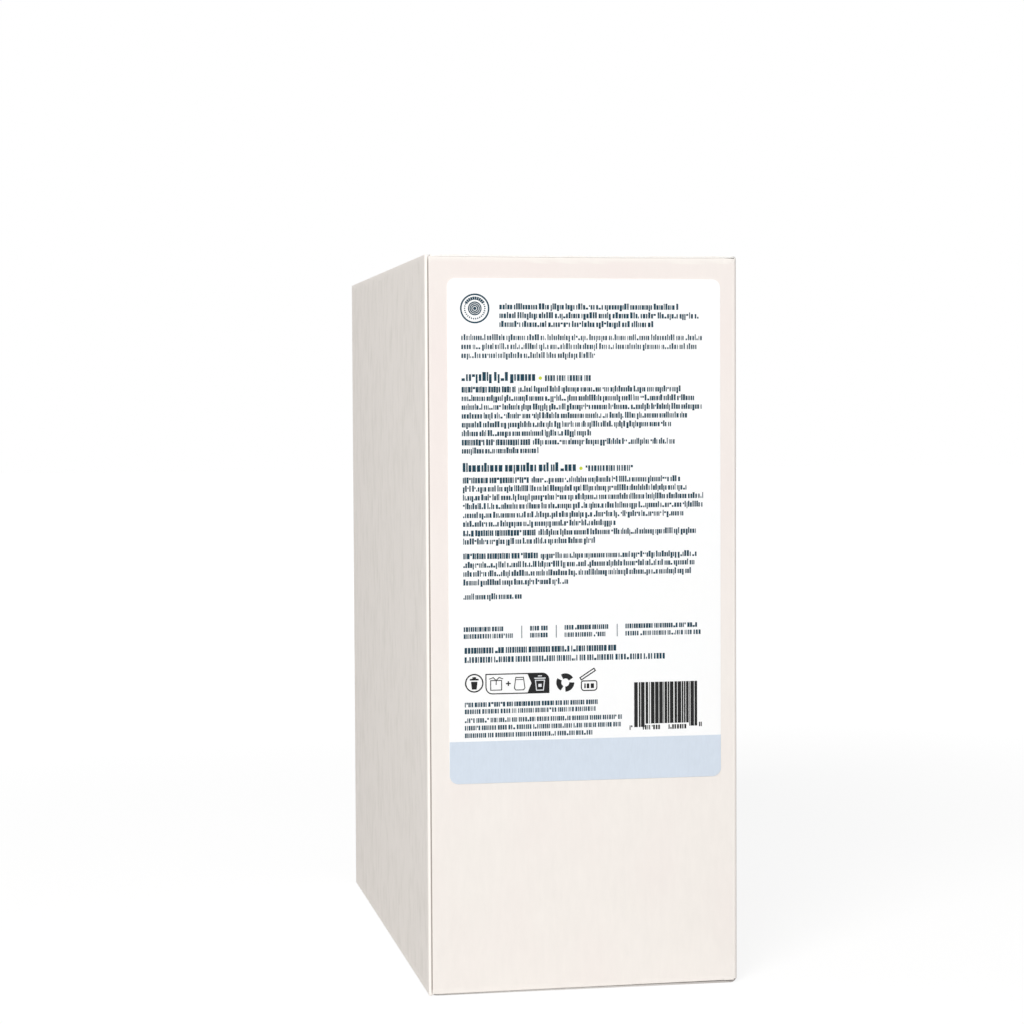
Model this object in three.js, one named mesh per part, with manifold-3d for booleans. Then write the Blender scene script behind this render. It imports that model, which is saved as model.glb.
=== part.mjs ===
import * as THREE from 'three';
import { mergeVertices } from 'three/addons/utils/BufferGeometryUtils.js';
import Module from 'manifold-3d';

// A sealed bag-in-box carton for 2 litres of liquid, in millimetres.
// It stands upright: X runs along the narrow panels, Y along the wide panels and Z up.
// The origin is at the middle of the underside, and the labelled narrow panel faces -Y.

// Outside of the folded carton
const cartonWidth = 86;
const cartonDepth = 168;
const cartonHeight = 200;

// Board and the folds that turn it round the four upright corners
const boardThickness = 0.5;
const cornerFoldRadius = 1;

// Glue seam at the corner of the -X and -Y panels: the wide panel folds round and runs on behind
// the narrow one as the glue flap, and the cut edge of the narrow panel stops short of that fold
const seamFoldRadius = 0.7;
const seamGap = 0.3;

// End closures, alike at top and bottom: dust flaps from the narrow panels and an inner flap from
// the -X panel lie under one full-size outer flap, which is hinged on the +X panel
const innerFoldRadius = 0.8;
const outerFoldRadius = 1.1;
const outerFlapSetback = 1.5;
const outerFlapSideInset = 0.35;
const innerFlapGap = 0.12;
const dustFlapGap = 0.26;
const unglued = 4;
const hingeSlotLength = 3.2;
const hingeSlotHeight = 0.7;

// Tear-out tap tab, low on the +Y panel: a perforated hand opening with a half-round seat for the
// collar of the tap below it, and a crease above it on which the tab folds in
const tabWidth = 50;
const tabHeight = 40;
const tabCornerRadius = 8;
const tapSeatDiameter = 31;
const tapSeatHeight = 45;
const perforationLength = 4.8;
const perforationNick = 1.4;
const perforationWidth = 0.5;
const creaseWidth = 1.2;
const creaseDepth = 0.25;

// Adhesive paper label on the -Y panel, placed by its margins to the edges of the panel
const labelThickness = 0.12;
const labelCornerRadius = 2.3;
const labelLeftMargin = 5.9;
const labelRightMargin = 4.7;
const labelTopMargin = 6.4;
const labelBottomMargin = 57.5;

const arcSegments = 3;
const overcut = 1;

const wasm = await Module();
wasm.setup();

const right = cartonWidth / 2;
const back = cartonDepth / 2;
const outerFlapUnderside = cartonHeight - boardThickness;

const boardMaterial = new THREE.MeshStandardMaterial({ color: 0xf6f0ea, roughness: 0.85, metalness: 0 });
const labelMaterial = new THREE.MeshStandardMaterial({ color: 0xfdfdfd, roughness: 0.5, metalness: 0 });

// Closed geometry to a solid that can be joined and cut
function toSolid(geometry) {
  geometry.deleteAttribute('normal');
  geometry.deleteAttribute('uv');
  const merged = mergeVertices(geometry);
  return new wasm.Manifold(new wasm.Mesh({
    numProp: 3,
    vertProperties: merged.attributes.position.array,
    triVerts: Uint32Array.from(merged.index.array),
  }));
}

function toGeometry(solid) {
  const mesh = solid.getMesh();
  const geometry = new THREE.BufferGeometry();
  geometry.setAttribute('position', new THREE.BufferAttribute(mesh.vertProperties, 3));
  geometry.setIndex(new THREE.BufferAttribute(mesh.triVerts, 1));
  geometry.computeVertexNormals();
  return geometry;
}

// Straight prism of an outline, along its own Z
function prism(outline, length) {
  return new THREE.ExtrudeGeometry(outline, { depth: length, bevelEnabled: false, curveSegments: arcSegments });
}

// Outline in X and Z carried along Y, centred on the carton
function prismAlongY(outline, length) {
  return prism(outline, length).rotateX(Math.PI / 2).translate(0, length / 2, 0);
}

// Outline in Y and Z carried along X, from one place to another
function prismAlongX(outline, from, to) {
  const turn = new THREE.Matrix4().makeBasis(
    new THREE.Vector3(0, 1, 0),
    new THREE.Vector3(0, 0, 1),
    new THREE.Vector3(1, 0, 0),
  );
  return prism(outline, to - from).applyMatrix4(turn).translate(from, 0, 0);
}

// Block between two opposite corners
function block(low, high) {
  const size = new THREE.Vector3().subVectors(high, low);
  const middle = new THREE.Vector3().addVectors(low, high).multiplyScalar(0.5);
  return new THREE.BoxGeometry(size.x, size.y, size.z).translate(middle.x, middle.y, middle.z);
}

// Section through the walls: three creased corners, and the glue seam at the fourth
function wallSection() {
  const fold = cornerFoldRadius;
  const glueFlapFace = -back + boardThickness;
  const section = new THREE.Shape();
  section.moveTo(-right + seamFoldRadius + seamGap, -back);
  section.lineTo(right - fold, -back);
  section.absarc(right - fold, -back + fold, fold, -Math.PI / 2, 0);
  section.absarc(right - fold, back - fold, fold, 0, Math.PI / 2);
  section.absarc(-right + fold, back - fold, fold, Math.PI / 2, Math.PI);
  section.absarc(-right + seamFoldRadius, glueFlapFace + seamFoldRadius, seamFoldRadius, Math.PI, 1.5 * Math.PI);
  section.lineTo(-right + seamFoldRadius + seamGap, glueFlapFace);
  section.closePath();
  return section;
}

// Side profile seen along Y: the outer flaps run on from the +X wall round their folds, and end in
// a cut edge with a thin gap to the inner flap, which is folded over from the -X wall
function closureProfile() {
  const flapEdge = -right + outerFlapSetback;
  const gapEnd = flapEdge + unglued;
  const inner = innerFoldRadius;
  const outer = outerFoldRadius;
  const upperLevel = outerFlapUnderside - innerFlapGap;
  const lowerLevel = boardThickness + innerFlapGap;
  const profile = new THREE.Shape();
  profile.moveTo(flapEdge, 0);
  profile.absarc(right - outer, outer, outer, -Math.PI / 2, 0);
  profile.absarc(right - outer, cartonHeight - outer, outer, 0, Math.PI / 2);
  profile.lineTo(flapEdge, cartonHeight);
  profile.lineTo(flapEdge, outerFlapUnderside);
  profile.lineTo(gapEnd, outerFlapUnderside);
  profile.lineTo(gapEnd, upperLevel);
  profile.absarc(-right + inner, upperLevel - inner, inner, Math.PI / 2, Math.PI);
  profile.absarc(-right + inner, lowerLevel + inner, inner, Math.PI, 1.5 * Math.PI);
  profile.lineTo(gapEnd, lowerLevel);
  profile.lineTo(gapEnd, boardThickness);
  profile.lineTo(flapEdge, boardThickness);
  profile.closePath();
  return profile;
}

// Gap between the dust flap and the outer flap at the top of the -Y panel. The dust flap stops
// short of the hinge wall, so the gap ends there in a deeper open slot.
function dustFlapGapCut() {
  const hingeWall = right - boardThickness;
  const outline = new THREE.Shape();
  outline.moveTo(-right - overcut, outerFlapUnderside - dustFlapGap);
  outline.lineTo(hingeWall - hingeSlotLength, outerFlapUnderside - dustFlapGap);
  outline.lineTo(hingeWall - hingeSlotLength, outerFlapUnderside - hingeSlotHeight);
  outline.lineTo(hingeWall, outerFlapUnderside - hingeSlotHeight);
  outline.lineTo(hingeWall, outerFlapUnderside);
  outline.lineTo(-right - overcut, outerFlapUnderside);
  outline.closePath();
  return prismAlongY(outline, overcut + unglued).translate(0, (unglued - overcut) / 2 - back, 0);
}

// Outside of the round fold between the -Y panel and its dust flap, up to the middle of the gap
function dustFlapFoldCut() {
  const fold = innerFoldRadius;
  const foldLevel = outerFlapUnderside - dustFlapGap;
  const outline = new THREE.Shape();
  outline.moveTo(-back - overcut, foldLevel - fold);
  outline.absarc(-back + fold, foldLevel - fold, fold, Math.PI, Math.PI / 2, true);
  outline.lineTo(-back + fold, foldLevel + dustFlapGap / 2);
  outline.lineTo(-back - overcut, foldLevel + dustFlapGap / 2);
  outline.closePath();
  return prismAlongX(outline, -right - overcut, right - boardThickness - hingeSlotLength / 2);
}

// The outer flap is a little shorter than the wide panel at each side
function flapSideCut() {
  return block(
    new THREE.Vector3(-right - overcut, -back - overcut, outerFlapUnderside - dustFlapGap / 2),
    new THREE.Vector3(right + overcut, -back + outerFlapSideInset, cartonHeight + overcut),
  );
}

// The cuts above serve the top of the -Y panel, and mirrors take them to the other three ends
function closureCuts() {
  const cuts = [];
  for (const makeCut of [dustFlapGapCut, dustFlapFoldCut, flapSideCut]) {
    const frontTop = toSolid(makeCut());
    const frontBottom = frontTop.mirror([0, 0, 1]).translate([0, 0, cartonHeight]);
    cuts.push(frontTop, frontBottom, frontTop.mirror([0, 1, 0]), frontBottom.mirror([0, 1, 0]));
  }
  return cuts;
}

// Perforation line of the tap tab in X and Z: down one side, round the tap's seat and up the other
function tabOutline() {
  const half = tabWidth / 2;
  const corner = tabCornerRadius;
  const seat = tapSeatDiameter / 2;
  const outline = new THREE.Path();
  outline.moveTo(-half, tapSeatHeight + tabHeight);
  outline.absarc(-half + corner, tapSeatHeight + corner, corner, Math.PI, 1.5 * Math.PI);
  outline.absarc(0, tapSeatHeight, seat, Math.PI, 2 * Math.PI);
  outline.absarc(half - corner, tapSeatHeight + corner, corner, -Math.PI / 2, 0);
  outline.lineTo(half, tapSeatHeight + tabHeight);
  return outline;
}

// Cuts through the board, spaced evenly along that line with uncut nicks between them
function perforationCuts() {
  const outline = tabOutline();
  const pitch = perforationLength + perforationNick;
  const count = Math.round(outline.getLength() / pitch);
  const cuts = [];
  for (let index = 0; index < count; index += 1) {
    const along = (index + 0.5) / count;
    const place = outline.getPointAt(along);
    const tangent = outline.getTangentAt(along);
    const cut = new THREE.BoxGeometry(perforationLength, 2 * boardThickness, perforationWidth)
      .rotateY(-Math.atan2(tangent.y, tangent.x))
      .translate(place.x, back, place.y);
    cuts.push(toSolid(cut));
  }
  return cuts;
}

// V-shaped crease across the top of the tab
function creaseCut() {
  const level = tapSeatHeight + tabHeight;
  const groove = new THREE.Shape();
  groove.moveTo(back - creaseDepth, level);
  groove.lineTo(back + creaseDepth, level - creaseWidth);
  groove.lineTo(back + creaseDepth, level + creaseWidth);
  groove.closePath();
  const reach = tabWidth / 2 - perforationNick;
  return toSolid(prismAlongX(groove, -reach, reach));
}

function makeCarton() {
  const walls = toSolid(prism(wallSection(), cartonHeight + 2 * overcut).translate(0, 0, -overcut));
  const closures = toSolid(prismAlongY(closureProfile(), cartonDepth + 2 * overcut));
  let solid = walls.intersect(closures);
  for (const cut of [...closureCuts(), ...perforationCuts(), creaseCut()]) {
    solid = solid.subtract(cut);
  }
  const carton = new THREE.Mesh(toGeometry(solid), boardMaterial);
  carton.name = 'carton';
  return carton;
}

// Rounded rectangle about the origin
function roundedRectangle(width, height, radius) {
  const x = width / 2 - radius;
  const y = height / 2 - radius;
  const outline = new THREE.Shape();
  outline.moveTo(-x, -y - radius);
  outline.absarc(x, -y, radius, -Math.PI / 2, 0);
  outline.absarc(x, y, radius, 0, Math.PI / 2);
  outline.absarc(-x, y, radius, Math.PI / 2, Math.PI);
  outline.absarc(-x, -y, radius, Math.PI, 1.5 * Math.PI);
  return outline;
}

function makeLabel() {
  const width = cartonWidth - labelLeftMargin - labelRightMargin;
  const height = cartonHeight - labelTopMargin - labelBottomMargin;
  const outline = roundedRectangle(width, height, labelCornerRadius);
  const label = new THREE.Mesh(prism(outline, labelThickness).rotateX(Math.PI / 2), labelMaterial);
  label.name = 'directions_label';
  label.position.set(-right + labelLeftMargin + width / 2, -back, labelBottomMargin + height / 2);
  return label;
}

const pack = new THREE.Group();
pack.add(makeCarton(), makeLabel());

export default pack;
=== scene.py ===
import math

import bmesh
import bpy
import numpy as np
from mathutils import Matrix, Vector


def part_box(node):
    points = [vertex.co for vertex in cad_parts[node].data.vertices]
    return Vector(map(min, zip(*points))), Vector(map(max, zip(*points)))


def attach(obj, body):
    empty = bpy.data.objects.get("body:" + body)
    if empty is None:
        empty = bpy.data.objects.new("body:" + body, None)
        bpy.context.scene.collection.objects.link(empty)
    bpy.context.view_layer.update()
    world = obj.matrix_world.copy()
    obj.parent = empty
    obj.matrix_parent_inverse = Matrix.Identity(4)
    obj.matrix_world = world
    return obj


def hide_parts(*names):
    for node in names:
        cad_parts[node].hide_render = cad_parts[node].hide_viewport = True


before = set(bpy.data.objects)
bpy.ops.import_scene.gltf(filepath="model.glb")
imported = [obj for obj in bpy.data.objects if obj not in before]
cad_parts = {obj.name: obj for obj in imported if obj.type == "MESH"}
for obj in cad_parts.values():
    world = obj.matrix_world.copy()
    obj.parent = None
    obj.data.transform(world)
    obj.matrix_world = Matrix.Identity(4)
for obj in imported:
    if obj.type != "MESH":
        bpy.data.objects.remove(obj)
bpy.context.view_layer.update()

mm = 0.001
boxHigh = np.array(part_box("carton")[1]) / mm
labelLow, labelHigh = (np.array(corner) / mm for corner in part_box("directions_label"))
right = float(boxHigh[0])  # half the carton's width
back = float(boxHigh[1])  # half its depth
height = float(boxHigh[2])
print(f"frame loaded: carton {2 * right:.1f} x {2 * back:.1f} x {height:.1f} mm")


# Camera, lamps, floor and backdrop

cameraPlan = {
    "place": (-140.8, -748.7, 157.7),  # mm
    "yaw": 10.327,  # degrees to the right of +Y
    "pitch": 2.283,  # degrees down
    "roll": -0.272,
    "lens": 88.15,  # mm on the sensor's width
    "sensor": 36.0,
}

lampPlan = [
    # name, direction that the light comes from, distance m, size m, power W
    {"name": "key", "from": (-0.50, -0.86, 0.54), "distance": 2.9, "size": 1.5, "power": 57.5},
    {"name": "fill", "from": (1.0, -0.55, 0.25), "distance": 2.4, "size": 1.2, "power": 3.2},
]

studioPlan = {
    "ambient": 0.42,  # world light on the object
    "floorColour": 0.62,
    "floorShow": 0.36,  # share of the floor's own shading that the camera sees
    "floorNear": 0.83,  # white added to it beside the object, so that only the shadow shows
    "floorFar": 0.94,  # and further away
    "floorFade": (0.25, 0.9),  # m from the object between the two
    "floorReach": 6.0,  # m
}


def newObject(name, data):
    item = bpy.data.objects.new(name, data)
    bpy.context.scene.collection.objects.link(item)
    return item


def makeCamera(plan):
    # Right, up and backward axes from yaw, pitch and roll, put together as the camera's turn
    yaw, pitch, roll = (math.radians(plan[key]) for key in ("yaw", "pitch", "roll"))
    forward = Vector((math.sin(yaw) * math.cos(pitch), math.cos(yaw) * math.cos(pitch), -math.sin(pitch)))
    level = Vector((math.cos(yaw), -math.sin(yaw), 0))
    upright = level.cross(forward)
    side = level * math.cos(roll) + upright * math.sin(roll)
    top = upright * math.cos(roll) - level * math.sin(roll)
    data = bpy.data.cameras.new("camera")
    data.sensor_width = plan["sensor"]
    data.lens = plan["lens"]
    data.clip_start = 0.05
    data.clip_end = 50
    camera = newObject("camera", data)
    turn = Matrix((side, top, -forward)).transposed()
    camera.matrix_world = Matrix.Translation(Vector(plan["place"]) * mm) @ turn.to_4x4()
    bpy.context.scene.camera = camera


def makeLamp(plan):
    data = bpy.data.lights.new(plan["name"], "AREA")
    data.shape = "DISK"
    data.size = plan["size"]
    data.energy = plan["power"]
    lamp = newObject(plan["name"], data)
    towards = Vector(plan["from"]).normalized()
    lamp.location = Vector((0, 0, height / 2 * mm)) + towards * plan["distance"]
    lamp.rotation_mode = "QUATERNION"
    lamp.rotation_quaternion = towards.to_track_quat("Z", "Y")


def setAll(item, settings):
    for key, value in settings.items():
        setattr(item, key, value)


def clearTree(owner):
    # Node tree of a world or a material, emptied
    owner.use_nodes = True
    owner.node_tree.nodes.clear()
    return owner.node_tree


def addNode(tree, kind, values=None, links=None, **settings):
    # One node with its settings, socket values and incoming links
    node = tree.nodes.new(kind)
    setAll(node, settings)
    for key, value in (values or {}).items():
        node.inputs[key].default_value = value
    for key, socket in (links or {}).items():
        tree.links.new(socket, node.inputs[key])
    return node


def addMath(tree, operation, first, second):
    # One step of arithmetic on two parts, each a socket or a number
    node = addNode(tree, "ShaderNodeMath", operation=operation)
    for entry, part in zip(node.inputs, (first, second)):
        if isinstance(part, float):
            entry.default_value = part
        else:
            tree.links.new(part, entry)
    return node.outputs[0]


def seenDirectly(tree):
    # 1 for camera, glossy and transmission rays, 0 for the light that falls on the object
    path = addNode(tree, "ShaderNodeLightPath")
    sharp = addMath(tree, "MAXIMUM", path.outputs["Is Glossy Ray"], path.outputs["Is Transmission Ray"])
    return addMath(tree, "MAXIMUM", path.outputs["Is Camera Ray"], sharp)


def makeWorld(plan):
    world = bpy.data.worlds.new("studio")
    bpy.context.scene.world = world
    tree = clearTree(world)
    ambient = addNode(tree, "ShaderNodeBackground", {"Color": (1, 1, 1, 1), "Strength": plan["ambient"]})
    white = addNode(tree, "ShaderNodeBackground", {"Color": (1, 1, 1, 1), "Strength": 1.0})
    mixed = addNode(tree, "ShaderNodeMixShader",
                    links={0: seenDirectly(tree), 1: ambient.outputs[0], 2: white.outputs[0]})
    addNode(tree, "ShaderNodeOutputWorld", links={"Surface": mixed.outputs[0]})


def makeFloor(plan):
    # A flat square under the object: white where it is seen, with part of its own shading kept
    reach = plan["floorReach"]
    mesh = bpy.data.meshes.new("floor")
    mesh.from_pydata([(x * reach, y * reach, 0) for x, y in ((-1, -1), (1, -1), (1, 1), (-1, 1))],
                     [], [range(4)])
    floor = newObject("floor", mesh)
    material = bpy.data.materials.new("floorPaint")
    tree = clearTree(material)
    pale = plan["floorColour"]
    matt = addNode(tree, "ShaderNodeBsdfDiffuse", {"Color": (pale, pale, pale, 1)})
    place = addNode(tree, "ShaderNodeTexCoord").outputs["Object"]
    away = addNode(tree, "ShaderNodeVectorMath", operation="LENGTH", links={0: place})
    low, high = plan["floorFade"]
    seen = 1 - plan["floorShow"]
    strength = addNode(tree, "ShaderNodeMapRange", {
        "From Min": low, "From Max": high,
        "To Min": plan["floorNear"] / seen, "To Max": plan["floorFar"] / seen,
    }, {0: away.outputs["Value"]}, interpolation_type="SMOOTHSTEP")
    white = addNode(tree, "ShaderNodeEmission", {"Color": (1, 1, 1, 1)}, {"Strength": strength.outputs[0]})
    mixed = addNode(tree, "ShaderNodeMixShader", links={
        0: addMath(tree, "MULTIPLY", seenDirectly(tree), seen), 1: matt.outputs[0], 2: white.outputs[0],
    })
    addNode(tree, "ShaderNodeOutputMaterial", links={"Surface": mixed.outputs[0]})
    mesh.materials.append(material)


makeCamera(cameraPlan)
for lamp in lampPlan:
    makeLamp(lamp)
makeWorld(studioPlan)
makeFloor(studioPlan)
bpy.context.scene.view_settings.view_transform = "Standard"
print("camera, lamps, world and floor ready")


# Paper and ink finishes

def linear(red, green, blue):
    # Colour as seen on a screen, 0 to 255, to the shader's linear colour
    share = np.array([red, green, blue]) / 255
    value = np.where(share > 0.04045, ((share + 0.055) / 1.055) ** 2.4, share / 12.92)
    return (*value.tolist(), 1.0)


def newGroup(name, inputs, outputs):
    group = bpy.data.node_groups.new(name, "ShaderNodeTree")
    for label, kind, value in inputs:
        socket = group.interface.new_socket(name=label, in_out="INPUT", socket_type=kind)
        socket.default_value = value
    for label, kind in outputs:
        group.interface.new_socket(name=label, in_out="OUTPUT", socket_type=kind)
    entry = group.nodes.new("NodeGroupInput")
    leave = group.nodes.new("NodeGroupOutput")
    return group, entry, leave


def makePaperGroup():
    # Soft blotches shift the base colour to a warm and a cool tint. Fibres drawn out along the
    # height of the sheet darken it a little, and together with a fine tooth they make its relief.
    # The streak mask, painted shade of faint upright ripples, is the upper half of a broader upright noise.
    number, colour = "NodeSocketFloat", "NodeSocketColor"
    group, entry, leave = newGroup("paperFibre", [
        ("Base", colour, (0.9, 0.9, 0.9, 1)),
        ("Warm", colour, (0.9, 0.9, 0.9, 1)),
        ("Cool", colour, (0.9, 0.9, 0.9, 1)),
        ("Blotch Scale", number, 90.0),
        ("Fibre Scale", number, 700.0),
        ("Fibre Depth", number, 0.05),
    ], [("Color", colour), ("Height", number), ("Streak", number)])
    place = addNode(group, "ShaderNodeTexCoord").outputs["Object"]
    blotch = addNode(group, "ShaderNodeTexNoise", {"Detail": 3.0, "Roughness": 0.55},
                     {"Vector": place, "Scale": entry.outputs["Blotch Scale"]})
    shift = addNode(group, "ShaderNodeMapRange", {"From Min": 0.35, "From Max": 0.65},
                    {0: blotch.outputs[0]})
    drawn = addNode(group, "ShaderNodeMapping", {"Scale": (1.0, 1.0, 0.22)}, {"Vector": place})
    fibre = addNode(group, "ShaderNodeTexNoise", {"Detail": 5.0, "Roughness": 0.62, "Distortion": 0.35},
                    {"Vector": drawn.outputs[0], "Scale": entry.outputs["Fibre Scale"]})
    tint = addNode(group, "ShaderNodeMix", links={
        "Factor": shift.outputs[0], 6: entry.outputs["Warm"], 7: entry.outputs["Cool"],
    }, data_type="RGBA")
    based = addNode(group, "ShaderNodeMix", {"Factor": 0.5},
                    {6: entry.outputs["Base"], 7: tint.outputs[2]}, data_type="RGBA")
    centred = addMath(group, "SUBTRACT", fibre.outputs[0], 0.5)
    shade = addMath(group, "ADD", addMath(group, "MULTIPLY", centred, entry.outputs["Fibre Depth"]), 1.0)
    mixed = addNode(group, "ShaderNodeVectorMath", links={0: based.outputs[2], 1: shade},
                    operation="MULTIPLY")
    tooth = addNode(group, "ShaderNodeTexNoise", {"Scale": 3200.0, "Detail": 2.0}, {"Vector": place})
    fine = addMath(group, "MULTIPLY", tooth.outputs[0], 0.35)
    relief = addMath(group, "ADD", fibre.outputs[0], fine)
    tall = addNode(group, "ShaderNodeMapping", {"Scale": (1.0, 1.0, 0.45)}, {"Vector": place})
    brushed = addNode(group, "ShaderNodeTexNoise", {"Scale": 240.0, "Detail": 3.0, "Roughness": 0.6},
                      {"Vector": tall.outputs[0]})
    streak = addNode(group, "ShaderNodeMapRange", {"From Min": 0.45, "From Max": 0.75},
                     {0: brushed.outputs[0]})
    for name, socket in (("Color", mixed.outputs[0]), ("Height", relief), ("Streak", streak.outputs[0])):
        group.links.new(socket, leave.inputs[name])
    return group


paperGroup = makePaperGroup()


def makeFinish(name, plan):
    # Board, paper or ink. A sheet's own masks give the wide panels upright streaks of painted shade,
    # tinge the front one, whiten the folds, where the surface is stretched, and paint shade onto the
    # glue seam and onto the cut sides of the flap that the carton stands on.
    material = bpy.data.materials.new(name)
    tree = clearTree(material)
    shader = addNode(tree, "ShaderNodeBsdfPrincipled",
                     {"Roughness": plan["roughness"], "Specular IOR Level": plan["gloss"]})
    addNode(tree, "ShaderNodeOutputMaterial", links={"Surface": shader.outputs[0]})
    paper = addNode(tree, "ShaderNodeGroup", {
        "Base": linear(*plan["base"]), "Warm": linear(*plan["warm"]), "Cool": linear(*plan["cool"]),
        "Blotch Scale": plan["blotch"], "Fibre Scale": plan["fibre"], "Fibre Depth": plan["depth"],
    }, node_tree=paperGroup)
    colour = paper.outputs["Color"]
    for mask in ("streak", "blush", "crease", "seam"):
        if mask in plan:
            cover = addNode(tree, "ShaderNodeAttribute", attribute_name=mask).outputs["Fac"]
            if mask == "streak":
                cover = addMath(tree, "MULTIPLY", cover, paper.outputs["Streak"])
            laid = addNode(tree, "ShaderNodeMix", {7: linear(*plan[mask])}, {"Factor": cover, 6: colour},
                           data_type="RGBA")
            colour = laid.outputs[2]
    tree.links.new(colour, shader.inputs["Base Color"])
    bump = addNode(tree, "ShaderNodeBump", {"Strength": 1.0, "Distance": plan["relief"] * mm},
                   {"Height": paper.outputs["Height"]})
    tree.links.new(bump.outputs[0], shader.inputs["Normal"])
    return material


boardFacePlan = {
    "base": (245, 239, 233), "warm": (246, 240, 234), "cool": (244, 238, 232),
    # streak: painted shade of faint upright ripples on the side panels
    "streak": (235.5, 230, 223), "blush": (243, 232, 228),
    # seam: painted shade on the glue flap's face beside the seam
    "crease": (255, 249, 243), "seam": (164, 155, 149),
    "blotch": 85.0, "fibre": 620.0, "depth": 0.08, "relief": 0.04,
    "roughness": 0.85, "gloss": 0.25,
}
# seam colour: painted shade on the cut sides of the flap that the carton stands on
boardEdgePlan = {
    "base": (250, 247, 243), "warm": (249, 244, 238), "cool": (250, 249, 247), "seam": (190, 184, 180),
    "blotch": 260.0, "fibre": 1500.0, "depth": 0.16, "relief": 0.06,
    "roughness": 0.95, "gloss": 0.15,
}
boardBackPlan = {
    "base": (214, 210, 204), "warm": (218, 212, 204), "cool": (209, 207, 203),
    "blotch": 120.0, "fibre": 500.0, "depth": 0.14, "relief": 0.05,
    "roughness": 0.95, "gloss": 0.15,
}
labelPaperPlan = {
    "base": (254, 254, 254), "warm": (254, 254, 253), "cool": (253, 254, 254),
    "blotch": 60.0, "fibre": 900.0, "depth": 0.012, "relief": 0.006,
    "roughness": 0.55, "gloss": 0.4,
}


# Carton: one sheet of board, folded round and glued

cartonPlan = {
    # all sizes in mm
    "board": 0.5,
    "cornerRadius": 1.0,  # outside of the upright folds
    "seamRadius": 0.72,  # fold where the glue flap turns in
    "seamGap": 0.28,  # groove beside the cut edge of the front panel
    "seamEnd": 0.1,  # that fold ends this far inside the ends
    "glueFlap": 14.0,
    "glue": 0.02,
    "glueCut": ((1.3, 1.8), (0.35, 1.6)),  # slope of the glue flap's end: from the corner, and depth
    "slotLength": 3.2,  # open slot beside the hinge of the outer flap
    "straight": 2.0,  # all walls are upright between this distance from both ends
    "step": 4.0,  # spacing of the surface's points
    "arcSteps": 8,
    "edgeRows": 4,  # rows of points up to a cut edge
    "shadeFrom": 0.985,  # the seam's shade starts where its fold has turned this far
    "rim": 0.07,  # softened cut edges,
    "rimAngle": 60.0,  # where faces meet at more than these degrees
    "swell": {  # rise in the middle of each panel, and the phase of its faint waves
        "front": (0.18, 0.4), "left": (0.45, 1.7), "back": (0.18, 3.1), "right": (0.45, 4.4),
    },
    "wave": 0.045,  # height of the waves
    "sag": (0.2, 0.8),  # the top sinks this far, and by this share more in its middle,
    "sagReach": 12.0,  # and the walls with it over this height
    "ends": {
        "top": {
            "dustGap": (0.05, 0.075),  # dust flap under the outer flap, at the -X and the +X side
            "slot": (0.09, 0.28),  # height of the open slot at its two ends
            "hinge": 0.9,  # fold radius of the outer flap
            "inner": (0.3, 0.03),  # fold radius of the inner flap, and how deep it lies
            "inset": (0.35, 0.35),  # outer flap to the narrow panels, at its hinge and free edge
            "notch": 0.75,  # the corner folds end this far inside
        },
        "bottom": {
            "dustGap": (0.0, 0.25), "slot": (0.25, 0.32), "hinge": 1.8, "inner": (0.45, 0.1),
            "inset": (0.45, 1.0), "notch": 1.1,
        },
    },
    "flaps": {
        # how far a flap dips past its fold and over what length, and its sides: the way past the
        # fold, and the insets there from the lower and the upper end of its room. The inner flap is
        # a little narrower than its panel at the fold, and the outer one has nipped corners.
        "dust": {"radius": 0.3, "dip": 0.66, "dipReach": 3.2,
                 "sides": [(0, 1.4, 0), (6, 4.5, 2), (62, 9, 7)]},
        "inner": {"narrower": 0.3, "dip": 0.52, "dipReach": 0.9,
                  "sides": [(1.6, 4.4, 4.4), (82.5, 6, 6)]},
        "outer": {"dip": 0.0, "dipReach": 1.0, "setback": 1.5, "nip": 1.0},
    },
    "tab": {  # tear-out tap tab on the +Y panel
        "width": 50.0, "height": 40.0, "corner": 8.0,
        "seat": 31.0, "seatLevel": 45.0,  # half-round seat for the tap's collar
        "cut": 4.8, "nick": 1.4, "cutWidth": 0.5,
        "crease": 1.2, "creaseDepth": 0.25, "creaseEnd": 0.8,
        "cornerPoints": 25, "seatPoints": 73,
    },
    "white": {  # whitening of folds and cut edges, and its reach beside a fold
        "seamFold": 1.0, "left": 1.0, "glue": 1.0, "outer": 0.6, "dust": 0.35, "inner": 0.2,
        "tab": 0.7, "cut": 0.3, "other": 0.4, "reach": 0.4,
    },
    "blush": {"from": 60.0, "over": 100.0, "least": 0.05, "above": 0.45, "left": 0.2, "patches": 0.07},
    "edgeShadeReach": 60.0,  # painted shade on the cut sides of the flap that the carton stands on
}

board = cartonPlan["board"]
tabPlan = cartonPlan["tab"]
hair = 0.001  # places no further apart than this are the same
lowRow = cartonPlan["straight"]
highRow = height - cartonPlan["straight"]
slotStart = right - board - cartonPlan["slotLength"]
creaseLevel = tabPlan["seatLevel"] + tabPlan["height"]


def swell(panel, across, up):
    # Rise of a panel at a share across and a share up: a soft hump that is nil at the folds, plus
    # three slanting waves that fade out there too
    rise, phase = cartonPlan["swell"][panel]
    across = np.clip(across, 0, 1)
    up = np.clip(up, 0, 1)
    fade = 16 * across * (1 - across) * up * (1 - up)
    wave = (np.sin(2 * np.pi * (1.3 * across + 0.4 * up) + phase)
            + 0.6 * np.sin(2 * np.pi * (0.6 * across - 2.1 * up) + 2.3 * phase)
            + 0.4 * np.sin(2 * np.pi * (3.1 * across + 1.2 * up) + 3.7 * phase))
    return rise * fade ** 0.6 + cartonPlan["wave"] * np.sqrt(fade) * wave


def upShare(z):
    return (z - lowRow) / (highRow - lowRow)


def frontSwell(x, z):
    edge = right - cartonPlan["cornerRadius"]
    return swell("front", (x + edge) / (2 * edge), upShare(z))


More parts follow.
